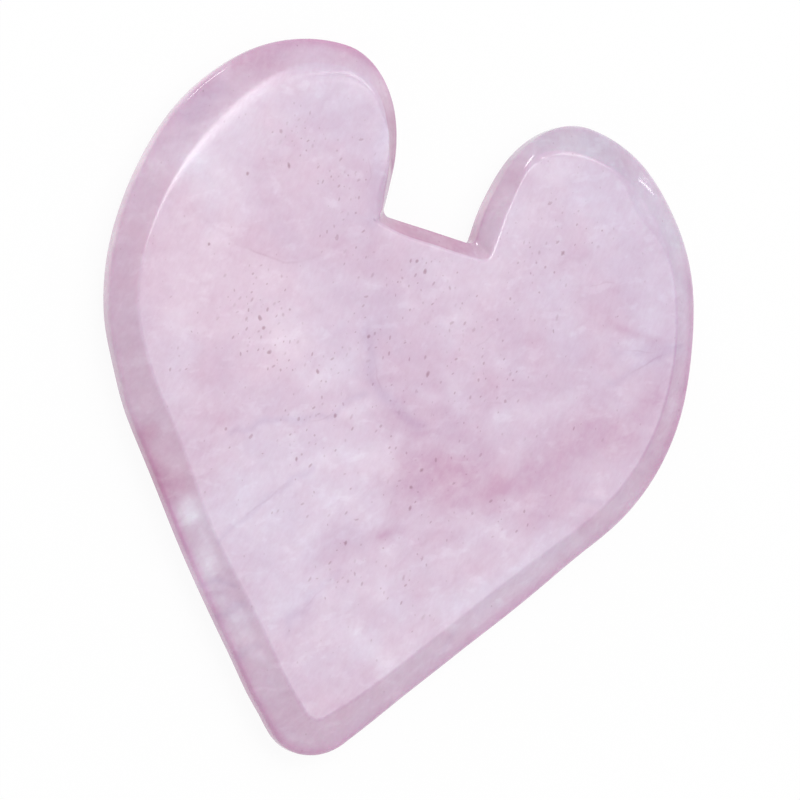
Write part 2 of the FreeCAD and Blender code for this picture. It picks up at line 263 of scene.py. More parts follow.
# Soft patches and streaks: (strength, half-width, points along it). A positive strength
# is a deeper pink, a negative one is milkier.
BLUSH_STROKES = [
    (1.9, 2.0, [(1.0, -7.2), (3.5, -6.4), (6.0, -4.9), (9.0, -3.8), (14.0, -3.2)]),
    (1.5, 1.7, [(14.0, -3.0), (18.4, -0.9), (22.5, 2.5), (26.5, 6.4), (30.0, 9.5)]),
    (1.3, 1.1, [(-4.8, -16.0), (-2.6, -15.3), (0.0, -14.2), (2.5, -12.2)]),
    (0.9, 1.0, [(1.5, -9.0), (2.5, -11.0), (2.0, -12.5)]),
    (1.3, 1.5, [(3.0, 4.5), (5.5, 2.0), (9.0, 0.8), (12.0, -1.0)]),
    (0.8, 2.2, [(0.5, -1.8), (4.3, -1.6)]),
    (0.9, 1.1, [(18.8, -5.2), (20.2, -7.0), (23.3, -6.7), (25.5, -5.9)]),
    (-0.9, 0.9, [(17.0, -8.4), (19.4, -9.2), (22.0, -9.2)]),
    (-0.5, 1.2, [(18.6, -10.4), (17.8, -11.2)]),
    (0.8, 1.1, [(14.6, -9.8), (15.1, -9.0)]),
    (0.7, 2.2, [(24.3, 10.6), (25.4, 9.4)]),
    (0.8, 2.3, [(28.8, 2.0), (28.4, 5.0)]),
    (0.8, 2.1, [(16.0, 6.8), (16.8, 6.0)]),
    (0.6, 2.2, [(-19.8, -10.8), (-19.8, -9.6)]),
    (-0.7, 1.9, [(-1.0, -6.8), (0.0, -6.4)]),
    (0.7, 1.9, [(-8.2, 2.4), (-7.8, 1.2)]),
    (0.5, 2.2, [(28.2, 18.0), (27.6, 21.6)]),
    (0.7, 1.6, [(7.0, 8.0), (9.0, 5.0)]),
    (0.35, 3.4, [(-20.0, 23.0), (-16.0, 19.0)]),
    (0.5, 2.6, [(-12.0, 24.0), (-9.0, 18.0)]),
    (0.3, 2.6, [(12.5, 28.0), (11.0, 22.0), (13.0, 15.0)]),
    (1.3, 1.2, [(15.8, 21.8), (17.4, 23.2)]),
    (1.5, 0.6, [(21.5, 17.2), (26.0, 17.7), (28.0, 18.0)]),
    (0.7, 0.8, [(27.1, 13.2), (22.0, 8.0)]),
    (0.8, 2.6, [(-3.0, 12.0), (1.0, 7.0)]),
    (0.5, 1.4, [(-21.5, 6.0), (-19.8, 0.0), (-19.0, -5.0)]),
    (0.7, 0.9, [(-7.0, -1.5), (-4.5, -4.0), (-1.5, -2.6)]),
    (0.5, 1.0, [(-3.4, -22.0), (-1.0, -26.0), (0.5, -29.0)]),
    (0.5, 1.4, [(6.0, -14.0), (9.0, -11.0)]),
    (0.4, 2.0, [(1.0, -31.0), (3.0, -27.0), (7.0, -22.5)]),
    (2.2, 1.5, [(-26.2, -9.0), (-24.0, -12.2), (-22.2, -14.2)]),
    (1.6, 0.6, [(-18.6, -17.6), (-17.4, -19.2)]),
    (1.2, 0.5, [(-15.0, -22.6), (-12.5, -22.2)]),
    (-1.9, 4.6, [(-7.5, -9.0), (-6.0, -11.5)]),
    (-1.0, 3.6, [(-15.0, -8.0), (-12.5, -13.0)]),
    (-1.3, 2.2, [(-3.5, -6.0), (-1.0, -4.2)]),
    (-1.5, 1.2, [(1.0, -2.6), (2.4, -2.0)]),
    (-1.5, 1.5, [(-14.0, 3.6), (-10.6, 1.0), (-8.0, 3.0), (-6.6, 4.4)]),
    (-1.4, 0.9, [(-6.2, -1.6), (-3.8, -0.4)]),
    (-0.8, 3.0, [(-12.5, 9.0), (-9.5, 10.5)]),
    (-0.9, 0.7, [(-10.2, 0.4), (-8.2, 3.0)]),
    (-1.4, 1.0, [(2.6, 2.6), (3.2, 3.8)]),
    (-1.3, 1.3, [(2.8, 10.6), (3.6, 12.4)]),
    (-1.1, 3.2, [(-13.0, 31.0), (-10.5, 27.0)]),
    (-0.9, 3.4, [(-24.0, 26.0), (-20.0, 29.5)]),
    (-0.6, 2.4, [(-27.0, 20.0), (-24.0, 18.0)]),
    (-1.0, 3.6, [(12.0, 31.0), (17.0, 30.0), (22.0, 29.0)]),
    (-0.5, 1.2, [(26.0, 22.0), (26.4, 14.0), (25.5, 10.5)]),
    (-0.9, 2.0, [(15.5, 4.2), (20.0, 7.5)]),
    (-0.9, 1.2, [(12.6, 8.4), (14.2, 10.0)]),
    (-0.8, 0.9, [(16.0, 19.0), (14.0, 17.2)]),
    (-1.3, 2.0, [(16.0, -8.5), (12.5, -9.0)]),
    (-1.1, 1.5, [(19.5, -10.5), (17.0, -13.0), (11.0, -19.5), (6.5, -25.4)]),
    (-0.8, 3.0, [(5.0, -17.0), (9.0, -14.0)]),
    (-0.9, 2.4, [(-4.0, -20.0), (-7.0, -23.0)]),
    (-1.0, 1.5, [(2.0, -23.0), (4.5, -24.6)]),
    (-0.8, 3.4, [(-26.0, 18.0), (-27.0, 8.0), (-26.0, 0.0)]),
    (-0.6, 3.6, [(-15.0, 13.0), (-20.0, 5.0)]),
    (-0.8, 4.2, [(-8.0, -18.0), (-1.0, -22.0), (1.5, -27.0)]),
    (-0.9, 2.4, [(7.0, 26.0), (9.0, 20.0)]),
    (-1.0, 2.6, [(0.0, 18.0), (5.0, 17.5)]),
    (1.1, 2.0, [(29.5, 19.0), (30.0, 12.0), (28.0, 5.0)]),
    (1.0, 2.2, [(0.0, 1.0), (4.0, -1.5), (7.0, -2.5)]),
    (0.8, 2.5, [(-7.0, 16.0), (-3.0, 16.5), (-3.0, 14.0)]),
    (-0.7, 2.0, [(-9.6, 30.0), (-9.8, 24.0), (-9.6, 20.6)]),
    (0.8, 2.5, [(7.0, 14.0), (11.0, 12.8), (12.0, 10.0)]),
    (0.8, 2.3, [(-12.5, 29.5), (-11.0, 26.0)]),
    (0.5, 2.6, [(20.0, 29.0), (24.0, 26.5)]),
    (-1.0, 3.2, [(-29.0, 21.0), (-27.5, 17.0)]),
    (-0.8, 2.8, [(-27.0, 3.0), (-24.0, -2.0)]),
    (-0.7, 2.3, [(-16.0, 6.0), (-10.0, 5.0)]),
    (-0.7, 2.3, [(4.0, -14.0), (5.0, -19.0), (4.5, -23.0)]),
    (0.9, 3.4, [(24.0, 17.6), (27.6, 14.0)]),
    (0.8, 2.5, [(11.0, -6.4), (16.5, -6.4)]),
    (0.6, 2.5, [(15.6, -10.0), (19.6, -9.6)]),
    (0.5, 2.5, [(0.0, 2.0), (4.0, 2.0)]),
    (0.5, 2.6, [(-13.0, -10.0), (-4.0, -13.6)]),
    (-0.6, 3.0, [(-23.0, 14.0), (-21.0, 4.0)]),
    (-0.7, 2.4, [(11.0, 25.0), (13.0, 22.4), (17.0, 21.6)]),
    (-0.8, 2.0, [(27.4, 10.0), (27.4, 5.6)]),
    (-0.6, 1.8, [(12.0, 3.0), (12.0, -1.6)]),
    (-0.7, 1.8, [(19.6, -10.6), (21.4, -9.0)]),
    (-0.6, 2.0, [(-13.0, -18.6), (-11.0, -18.0)]),
    (-0.5, 1.8, [(0.0, 10.0), (0.6, 5.6)]),
    (0.7, 1.8, [(-4.6, -19.0), (-3.0, -17.0)]),
    (0.5, 2.4, [(20.0, -2.6), (24.0, -2.0)]),
    (0.7, 1.6, [(8.0, -6.4), (9.4, -5.0)]),
    (0.5, 2.4, [(15.0, 18.0), (20.0, 18.6)]),
    (0.6, 1.6, [(-13.0, -18.8), (-9.8, -17.0)]),
    (0.5, 2.4, [(20.0, 30.0), (24.0, 26.6)]),
    (0.4, 3.0, [(-14.0, 29.0), (-12.0, 24.0)]),
    (0.4, 2.4, [(-8.0, -6.0), (-4.0, -6.0)]),
    (-0.6, 2.2, [(12.0, 2.2), (16.0, 2.2)]),
    (-0.7, 2.6, [(-24.0, 23.0), (-20.0, 26.0)]),
    # These four strokes deepen the pink along the bevels: painted shade, like the bevel tints.
    (1.4, 1.9, [(-25.0, 33.0), (-20.0, 36.2), (-14.0, 37.0), (-8.0, 34.6)]),
    (1.0, 2.0, [(-31.6, 24.0), (-28.6, 30.0)]),
    (0.7, 1.8, [(10.0, 34.8), (15.0, 36.6), (21.0, 35.0)]),
    (1.3, 1.4, [(31.6, 24.0), (33.6, 16.0), (33.6, 9.0), (31.6, 2.0)]),
    (-0.9, 1.5, [(-20.6, -15.4), (-13.6, -23.2), (-7.8, -29.6)]),
    (0.8, 3.0, [(14.0, 1.5), (19.0, 3.5), (24.0, 6.0)]),
    (0.7, 3.4, [(20.0, -4.0), (20.0, -9.0)]),
    (0.5, 2.6, [(-12.0, 14.0), (-8.0, 14.0)]),
    (0.9, 2.4, [(15.0, 13.6), (17.0, 10.4)]),
    (0.8, 1.5, [(-9.4, -6.4), (-7.0, -5.6)]),
    (0.6, 1.7, [(-4.4, -19.0), (-3.0, -17.4)]),
    (-2.0, 1.1, [(-20.4, -15.6), (-19.2, -16.8)]),
    (-1.6, 1.2, [(-16.4, -20.2), (-14.8, -21.6)]),
]
# Positive is a warmer pink, negative a cooler one.
WARMTH_STROKES = [
    (2.6, 4.6, [(-28.0, 11.0), (-22.0, 9.0)]),
    (2.0, 3.0, [(-23.0, 13.0), (-17.0, 10.5)]),
    (2.0, 3.2, [(-18.0, 5.5), (-14.0, 3.0)]),
    (1.5, 2.4, [(-22.0, 25.0), (-17.0, 22.0)]),
    (0.8, 3.0, [(-4.0, 19.0), (0.0, 14.0)]),
    (1.2, 2.4, [(9.0, -4.0), (12.0, -3.0)]),
    (2.4, 1.6, [(-26.0, -9.0), (-22.0, -14.0)]),
    (1.2, 2.5, [(-9.0, -1.5), (-7.0, 3.0)]),
    (-1.5, 3.6, [(-18.0, 31.0), (-13.0, 29.5)]),
    (-3.0, 5.0, [(18.0, 31.0), (25.0, 27.0), (28.0, 18.0)]),
    (-1.5, 4.0, [(-12.0, -10.0), (-5.0, -13.0)]),
    (-1.3, 2.5, [(-6.0, 4.0), (-4.0, 12.0)]),
    (-1.5, 2.0, [(22.0, -8.0), (12.0, -19.0)]),
    (-1.6, 3.6, [(-13.0, -16.0), (-7.5, -23.0)]),
    (1.0, 3.0, [(-29.0, 14.0), (-28.0, 2.0)]),
    (0.9, 4.0, [(-24.0, 6.0), (-21.0, 2.0), (-20.0, -6.0)]),
    (-1.4, 3.2, [(15.0, 18.5), (20.0, 11.0)]),
    (-1.2, 2.4, [(24.0, 21.0), (28.0, 21.0)]),
    (0.9, 3.0, [(4.0, -5.0), (20.0, -2.5)]),
    (0.8, 3.0, [(18.0, -10.0), (12.0, -14.0)]),
]
# Greyish mauve veins.
VEIN_STROKES = [
    (0.6, 0.75, [(-5.4, 8.2), (-4.4, 6.9), (-4.0, 4.7), (-2.2, 2.4), (0.5, 1.3), (3.3, 0.0)]),
    (0.6, 0.4, [(-17.4, -6.4), (-13.4, -4.2), (-10.2, -2.9), (-7.0, -1.8), (-5.3, 0.5), (-4.0, 1.6)]),
    (0.5, 0.35, [(-15.6, -17.8), (-13.4, -14.7), (-11.2, -11.9), (-8.8, -8.9), (-7.5, -7.5)]),
    (0.5, 0.9, [(-9.4, 30.0), (-8.9, 25.0), (-8.0, 20.0)]),
    (0.5, 1.2, [(-30.2, 24.8), (-27.6, 28.6)]),
    (0.5, 0.5, [(31.4, 16.9), (29.7, 15.5), (27.1, 13.2), (24.3, 10.5)]),
    (0.35, 0.5, [(30.0, 16.6), (26.4, 14.8), (23.4, 14.0)]),
    (0.4, 0.4, [(-6.0, -25.4), (-4.0, -21.0), (-1.4, -17.6)]),
    (0.6, 0.3, [(-15.6, -22.6), (-13.9, -21.4), (-12.4, -22.0)]),
    (0.6, 0.3, [(-13.2, -26.0), (-12.0, -24.4), (-11.0, -23.2)]),
    (0.5, 0.5, [(-9.6, -29.0), (-8.0, -27.4)]),
    (0.5, 0.3, [(12.8, -22.6), (13.6, -20.6)]),
    (0.5, 0.4, [(26.5, -2.4), (24.0, -2.8)]),
]
# Fractures seen edge on: (strength, how far the colour fades on their left, points).
SHEETS = [
    (-0.8, 3.2, [(25.6, -6.6), (24.2, -6.1), (22.0, -5.7), (18.3, -5.1), (15.4, -5.0)]),
    (0.8, 3.2, [(-29.4, 14.9), (-26.6, 14.0), (-23.2, 13.2), (-19.9, 12.7), (-16.5, 12.6),
                (-14.4, 13.3), (-11.0, 15.4)]),
    (0.7, 2.6, [(-20.0, -8.0), (-21.5, -1.9), (-22.5, 2.8), (-22.6, 6.0)]),
]
# Hairline cracks that show as fine dark threads: (strength, width, points).
THREADS = [
    (0.55, 0.2, [(-23.2, 13.2), (-19.9, 12.6), (-16.5, 12.5), (-14.4, 13.2), (-12.4, 14.6)]),
    (0.5, 0.16, [(-13.8, -15.2), (-12.4, -13.4), (-11.2, -11.9), (-9.6, -9.8)]),
    (0.6, 0.16, [(30.2, 15.8), (28.4, 14.6), (27.1, 13.2), (25.4, 11.6)]),
    (0.5, 0.14, [(28.8, 15.4), (26.6, 14.9), (24.4, 14.6)]),
    (0.5, 0.16, [(-3.6, 5.4), (-3.0, 3.6), (-1.6, 2.2)]),
    (0.45, 0.14, [(-9.6, -3.2), (-7.4, -2.2), (-6.2, -0.8)]),
    (0.45, 0.14, [(-10.4, 26.6), (-9.4, 24.2), (-9.6, 22.6)]),
    (0.4, 0.14, [(6.4, 9.4), (8.2, 10.8), (9.2, 12.6)]),
    (0.4, 0.14, [(9.4, 4.2), (11.8, 4.8), (13.4, 6.4)]),
    (0.4, 0.14, [(-4.6, -22.8), (-3.4, -20.6), (-2.6, -19.4)]),
    (0.45, 0.14, [(17.8, 19.6), (20.4, 21.2), (22.2, 21.4)]),
]
# Dark mineral specks that open at the polished face: (x, y, spread, count). The last row is
# the scatter over the whole face.
SPECK_CLUSTERS = [
    (-19.0, 8.0, 2.6, 24),
    (-16.8, 4.6, 2.8, 26),
    (-13.6, 3.0, 2.4, 14),
    (-9.0, 3.0, 1.8, 12),
    (-25.0, -0.5, 2.2, 7),
    (-10.0, -5.0, 2.6, 8),
    (-6.5, -1.0, 2.0, 8),
    (-18.5, 25.5, 3.0, 22),
    (-12.0, 23.5, 2.8, 20),
    (-0.5, 16.0, 2.6, 16),
    (-9.5, 17.5, 2.4, 12),
    (4.0, -6.5, 2.4, 9),
    (5.0, -17.0, 2.6, 9),
    (-2.0, -17.5, 2.6, 14),
    (9.0, -20.0, 2.4, 7),
    (15.0, 26.0, 2.6, 10),
    (12.0, 21.5, 3.0, 14),
    (6.0, 12.0, 3.0, 14),
    (10.0, 7.0, 3.0, 12),
    (-3.5, 8.0, 2.4, 6),
    (16.0, -7.5, 2.0, 8),
    (24.0, 27.5, 1.4, 4),
    (0.0, 4.0, 18.0, 170),
]
# Single larger ones: (x, y, half-width, stretch).
BIG_SPECKS = [
    (-17.4, 6.1, 0.27, 1.5),
    (-16.7, 5.2, 0.24, 1.2),
    (-15.4, 2.9, 0.26, 1.4),
    (4.1, -6.7, 0.24, 1.1),
    (4.8, -4.6, 0.2, 1.6),
    (2.7, 5.6, 0.24, 2.2),
    (4.6, -8.9, 0.2, 1.8),
    (-22.8, 20.4, 0.22, 1.3),
    (-18.6, 22.6, 0.22, 1.9),
    (-24.9, 12.0, 0.2, 1.2),
    (-0.6, 16.2, 0.24, 1.7),
    (-1.8, 17.0, 0.22, 1.3),
    (14.6, 22.8, 0.22, 1.8),
    (-6.4, -1.6, 0.24, 1.3),
    (-9.6, 2.4, 0.22, 1.6),
    (-5.0, 7.6, 0.22, 1.4),
    (-9.4, -7.2, 0.2, 1.6),
    (-1.6, -14.4, 0.2, 1.7),
]


# How the specks are drawn: the ranges and numbers that chance picks from.
SPECK_PLENTY = 1.4
BACK_SPECK_SHARE = 0.6
SPECK_SPREAD = 0.6
SPECK_HALF_WIDTHS = (0.07, 0.15)
SPECK_EXTRA_WIDTH = 0.09
SPECK_STRETCHES = (1.0, 2.6)
SPECK_TONES = (0.15, 0.7)
BIG_SPECK_TONE = 0.85
SPECK_GAP = 0.12
SPECK_EDGE_GAP = 1.2
SPECK_LEAN = math.radians(-14)
SPECK_LEAN_SPREAD = math.radians(20)
SPECK_WOBBLES = (0.85, 1.15)
# Rings of points around a speck's middle: (share of its size, share of its tone, points).
SPECK_RINGS = [(0.5, 0.8, 6), (1.0, 0.0, 9)]
PIT_DEPTH = 0.012
# How the hairlines are drawn.
THREAD_TONE = 0.75
THREAD_STEP = 0.22
THREAD_WANDER = 0.22
THREAD_WANDER_SIZE = 1.6
THREAD_SPECK_GAP = 0.2
THREAD_EDGE_GAP = 0.25
# How sharply a fracture begins and how it runs out at its ends.
SHEET_EDGE = 0.25
SHEET_END_FADE = 1.5
# The least dust anywhere, what each speck of a cluster adds, and how far past the cluster.
DUST_LEVEL = 0.25
DUST_PER_SPECK = 0.03
DUST_SPREAD = 1.5
# Noise that bends what is drawn, so that it looks grown: (reach, size, seed).
BROAD_WANDER = (2.2, 7.0, 3)
SMALL_WANDER = (1.0, 2.2, 4)
FINE_WANDER = (0.7, 2.0, 5)
# The value of edge_share on the flat face, past the end of its rounding.
ON_FACE = 2.0


# ---------------------------------------------------------------- outline
def arc(centre, x_radius, y_radius, start, end, count):
    """Points along an upright ellipse's arc, without its last one."""
    angles = np.linspace(start, end, count, endpoint=False)
    x = centre[0] + x_radius * np.cos(angles)
    y = centre[1] + y_radius * np.sin(angles)
    return np.column_stack([x, y])


def straight(start, end, count):
    steps = np.linspace(0, 1, count, endpoint=False)[:, None]
    return np.asarray(start) + steps * (np.asarray(end) - np.asarray(start))


def half_outline(shape, hand):
    """One half from the middle of the notch floor to the tip, drawn as if on the right."""
    count = STRETCH_POINTS
    top = shape["top"]
    floor_y = top - shape["notch_depth"]
    wall_x = shape[f"{hand}_wall_x"]
    corner = shape["corner_radius"]
    crown_height = shape[f"{hand}_crown_height"]
    lobe_x = shape["lobe_x"]
    widest_y = top - shape["widest_drop"]
    flank = shape["flank_radius"]
    flank_x = shape["half_width"] - flank
    tip_radius = shape["tip_radius"]
    tip_y = shape["tip"] + tip_radius

    drop = widest_y - tip_y
    lean = math.asin((flank - tip_radius) / math.hypot(flank_x, drop))
    angle = math.atan2(flank_x, drop) + lean
    normal = np.array([math.cos(angle), -math.sin(angle)])

    crown_centre = (lobe_x, top - crown_height)
    wall_foot = (wall_x, floor_y + corner)
    corner_centre = (wall_x - corner, floor_y + corner)
    shoulder_centre = (lobe_x, widest_y)
    shoulder_width = shape["half_width"] - lobe_x
    flank_centre = np.array([flank_x, widest_y])
    tip_centre = np.array([0, tip_y])
    quarter = math.pi / 2
    return np.vstack([
        straight((0, floor_y), (wall_x - corner, floor_y), count["floor"]),
        arc(corner_centre, corner, corner, -quarter, 0, count["corner"]),
        straight(wall_foot, (wall_x, crown_centre[1]), count["wall"]),
        arc(crown_centre, lobe_x - wall_x, crown_height, math.pi, quarter, count["crown"]),
        arc(shoulder_centre, shoulder_width, shape["widest_drop"], quarter, 0, count["shoulder"]),
        arc(flank_centre, flank, flank, 0, -angle, count["flank"]),
        straight(flank_centre + flank * normal, tip_centre + tip_radius * normal, count["side"]),
        arc(tip_centre, tip_radius, tip_radius, -angle, -quarter, count["tip"]),
    ])


def outline(shape):
    """The whole outline, clockwise from the middle of the notch floor."""
    right = half_outline(shape, "right")
    left = half_outline(shape, "left")
    tip = np.array([[0, shape["tip"]]])
    return np.vstack([right, tip, left[:0:-1] * (-1, 1)])


# ---------------------------------------------------------------- bevels and rim
def rounded_corner(before, corner, after, radius, count):
    """Points of an arc that rounds the corner between two straight runs, row by row."""
    to_before = before - corner
    to_after = after - corner
    to_before /= np.linalg.norm(to_before, axis=1, keepdims=True)
    to_after /= np.linalg.norm(to_after, axis=1, keepdims=True)
    turn = np.pi - np.arccos(np.clip((to_before * to_after).sum(1), -1, 1))
    reach = radius * np.tan(turn / 2)
    middle = to_before + to_after
    middle /= np.linalg.norm(middle, axis=1, keepdims=True)
    centre = corner + middle * (radius / np.cos(turn / 2))[:, None]
    start = corner + to_before * reach[:, None] - centre
    end = corner + to_after * reach[:, None] - centre
    rings = []
    for step in np.linspace(0, 1, count):
        weight_start = np.sin((1 - step) * turn) / np.sin(turn)
        weight_end = np.sin(step * turn) / np.sin(turn)
        rings.append(centre + start * weight_start[:, None] + end * weight_end[:, None])
    return rings


def shifted(loop, shifts, seed):
    """A clockwise loop with hand-ground shifts and a slight unevenness along it."""
    along = np.roll(loop, -1, axis=0) - np.roll(loop, 1, axis=0)
    outward = np.column_stack([-along[:, 1], along[:, 0]])
    outward /= np.linalg.norm(outward, axis=1, keepdims=True)
    amount = np.array([
        noise.noise(Vector((x / UNEVENNESS_SIZE, y / UNEVENNESS_SIZE, seed))) for x, y in loop
    ])
    amount = UNEVENNESS * (amount - UNEVENNESS_INWARD)
    amount += spot_field(loop, 0, shifts)
    result = loop + outward * amount[:, None]
    limit = (HALF_WIDTH, HALF_LENGTH)
    return np.clip(result, np.negative(limit), limit)


def spot_field(points, level, spots):
    """A level with soft round spots of change added to it."""
    total = np.full(len(points), float(level))
    for x, y, reach, change in spots:
        gap = np.hypot(points[:, 0] - x, points[:, 1] - y)
        total += change * np.exp(-((gap / reach) ** 2))
    return total


def bevel_rings(rim, face):
    """Rings of points from the rim's mid line up to the start of the flat face.

    Each is (plan points, heights above the mid plane, share of the way to the face).
    """
    step = face - rim
    width = np.linalg.norm(step, axis=1)
    inward = step / width[:, None]
    count = len(rim)
    zero = np.zeros(count)
    rim_top = np.full(count, RIM_THICKNESS / 2)
    face_top = np.full(count, MID_HEIGHT)

    def section(distance, height):
        return np.column_stack([distance, height])

    foot = section(zero, zero)
    rim_edge = section(zero, rim_top)
    face_edge = section(width, face_top)
    on_face = section(width + FACE_RUN, face_top)
    rings = [foot]
    rim_roundings = spot_field(rim, RIM_ROUNDING, RIM_ROUND_SPOTS)
    rings += rounded_corner(foot, rim_edge, face_edge, rim_roundings, RIM_ARC_RINGS)
    roundings = spot_field(face, FACE_ROUNDING, ROUND_SPOTS)
    edge_rings = rounded_corner(rim_edge, face_edge, on_face, roundings, FACE_ARC_RINGS)
    start, end = rings[-1], edge_rings[0]
    rings += [start + (end - start) * share for share in np.linspace(0, 1, BEVEL_RINGS)[1:-1]]
    rings += edge_rings
    result = []
    for ring in rings:
        plan = rim + inward * ring[:, :1]
        result.append((plan, ring[:, 1], ring[:, 0] / width))
    return result


# ---------------------------------------------------------------- flat face
def inside(points, loop):
    """Which points lie inside a closed loop."""
    result = np.zeros(len(points), bool)
    previous = np.roll(loop, 1, axis=0)
    for (x1, y1), (x2, y2) in zip(previous, loop):
        crosses = (y1 > points[:, 1]) != (y2 > points[:, 1])
        if not crosses.any():
            continue
        x_cross = x1 + (points[:, 1] - y1) / (y2 - y1 + 1e-12) * (x2 - x1)
        result ^= crosses & (points[:, 0] < x_cross)
    return result


def hex_grid(spacing):
    columns = np.arange(-HALF_WIDTH, HALF_WIDTH, spacing)
    rows = np.arange(-HALF_LENGTH, HALF_LENGTH, spacing * math.sqrt(3) / 2)
    grid = []
    for index, y in enumerate(rows):
        shift = spacing / 2 if index % 2 else 0
        grid.append(np.column_stack([columns + shift, np.full(len(columns), y)]))
    return np.vstack(grid)


def nearest_gaps(points, others):
    """How far each plan point is from the nearest of some others."""
    tree = KDTree(len(others))
    for index, (x, y) in enumerate(others):
        tree.insert((x, y, 0), index)
    tree.balance()
    return np.array([tree.find((x, y, 0))[2] for x, y in points])


def fill_face(loop, spacing, extra):
    """Triangulate the inside of a loop. Returns all points, loop first, and triangles."""
    grid = hex_grid(spacing)
    grid = grid[inside(grid, loop)]
    grid = grid[nearest_gaps(grid, loop) > spacing * EDGE_CLEARANCE]
    grid = grid[nearest_gaps(grid, extra) > spacing * SPECK_CLEARANCE]
    points = np.vstack([loop, extra, grid])
    vectors = [Vector(point) for point in points]
    loop_edges = [(i, (i + 1) % len(loop)) for i in range(len(loop))]
    made = delaunay_2d_cdt(vectors, loop_edges, [], 0, MERGE_DISTANCE, False)
    triangles = np.array(made[2])
    middles = points[triangles].mean(axis=1)
    return points, triangles[inside(middles, loop)]


def resample(points, step):
    """Points at even steps along a run of straight pieces."""
    points = np.asarray(points, float)
    lengths = np.hypot(*np.diff(points, axis=0).T)
    along = np.concatenate([[0], np.cumsum(lengths)])
    places = np.linspace(0, along[-1], max(2, int(along[-1] / step) + 1))
    return np.column_stack([np.interp(places, along, points[:, axis]) for axis in (0, 1)])


def wander(points, reach, size, seed):
    """Move plan points by smooth noise, so that drawn curves look natural."""
    moved = []
    for x, y in points:
        push = noise.noise_vector(Vector((x / size, y / size, seed)))
        moved.append((x + reach * push.x, y + reach * push.y))
    return np.array(moved)


def thread_points():
    """Three rows of points along each hairline, with how dark the thread is there."""
    places, values = [], []
    for index, (strength, width, run) in enumerate(THREADS):
        seed = 20 + index
        line = wander(resample(run, THREAD_STEP), THREAD_WANDER, THREAD_WANDER_SIZE, seed)
        ahead = np.gradient(line, axis=0)
        ahead /= np.linalg.norm(ahead, axis=1, keepdims=True)
        side = np.column_stack([-ahead[:, 1], ahead[:, 0]])
        taper = THREAD_TONE * np.sin(np.linspace(0, math.pi, len(line)))
        for offset, value in ((-width, 0.0), (0.0, strength), (width, 0.0)):
            places.append(line + side * offset)
            values.append(taper * value)
    return np.vstack(places), np.concatenate(values)


def clear_thread_points(loop, speck_places):
    """The hairlines' points that lie inside a loop and clear of its specks."""
    places, values = thread_points()
    clear = nearest_gaps(places, speck_places) > THREAD_SPECK_GAP
    clear &= nearest_gaps(places, loop) > THREAD_EDGE_GAP
    clear &= inside(places, loop)
    return places[clear], values[clear]


def scatter_specks(face, share):
    """Choose specks that keep clear of one another: (x, y, half-width, stretch, tone)."""
    wanted = [(*speck, BIG_SPECK_TONE) for speck in BIG_SPECKS]
    for x, y, spread, count in SPECK_CLUSTERS:
        for _ in range(round(count * share * SPECK_PLENTY)):
            place = RNG.normal((x, y), spread * SPECK_SPREAD)
            size = RNG.uniform(*SPECK_HALF_WIDTHS) + SPECK_EXTRA_WIDTH * RNG.random() ** 3
            wanted.append((*place, size, RNG.uniform(*SPECK_STRETCHES), RNG.uniform(*SPECK_TONES)))
    middles = np.array([speck[:2] for speck in wanted])
    gaps = nearest_gaps(middles, face)
    within = inside(middles, face) & (gaps > SPECK_EDGE_GAP)
    kept = []
    for speck, good in zip(wanted, within):
        x, y, size, stretch, _ = speck
        reach = size * stretch
        clear = all(
            math.hypot(x - other[0], y - other[1]) > reach + other[2] * other[3] + SPECK_GAP
            for other in kept
        )
        if good and clear:
            kept.append(speck)
    return kept


def speck_points(specks):
    """The middle and two rings of each speck, with its tone and the depth of its pit."""
    places, tones, depths = [], [], []
    for x, y, size, stretch, tone in specks:
        lean = RNG.normal(SPECK_LEAN, SPECK_LEAN_SPREAD)
        ahead = np.array([-math.sin(lean), math.cos(lean)])
        side = np.array([math.cos(lean), math.sin(lean)])
        places.append((x, y))
        tones.append(tone)
        depths.append(PIT_DEPTH * tone)
        for reach, value, count in SPECK_RINGS:
            for angle in np.linspace(0, 2 * math.pi, count, endpoint=False):
                wobble = size * reach * RNG.uniform(*SPECK_WOBBLES)
                along = math.sin(angle) * stretch * wobble
                across = math.cos(angle) * wobble
                places.append(np.array([x, y]) + ahead * along + side * across)
                tones.append(tone * value)
                depths.append(PIT_DEPTH * tone * value)
    return np.array(places), np.array(tones), np.array(depths)


# ---------------------------------------------------------------- fields of colour
def distance_along(points, run):
    """Each point's distance to a run of straight pieces, positive on its left."""
    best = np.full(len(points), np.inf)
    signed = np.zeros(len(points))
    beyond = np.zeros(len(points))
    run = np.asarray(run, float)
    for start, end in zip(run[:-1], run[1:]):
        ahead = end - start
        length = np.hypot(*ahead)
        ahead = ahead / length
        offset = points - start
        along = offset @ ahead
        held = np.clip(along, 0, length)
        gap = np.hypot(*(offset - held[:, None] * ahead).T)
        left = offset @ np.array([-ahead[1], ahead[0]])
        nearer = gap < best
        best[nearer] = gap[nearer]
        signed[nearer] = left[nearer]
        beyond[nearer] = np.abs(along - held)[nearer]
    return best, signed, beyond


def stroke_field(points, strokes):
    """The sum of soft strokes at each point."""
    total = np.zeros(len(points))
    for strength, half_width, run in strokes:
        gap, _, _ = distance_along(points, run)
        total += strength * np.exp(-((gap / half_width) ** 2))
    return total


def sheet_field(points):
    """Fractures: a sharp edge on one side, a slow fade on the other."""
    total = np.zeros(len(points))
    for strength, fade, run in SHEETS:
        _, signed, beyond = distance_along(points, run)
        value = np.exp(-signed / fade) * np.clip(signed / SHEET_EDGE + 0.5, 0, 1)
        total += strength * value * np.exp(-((beyond / SHEET_END_FADE) ** 2))
    return total


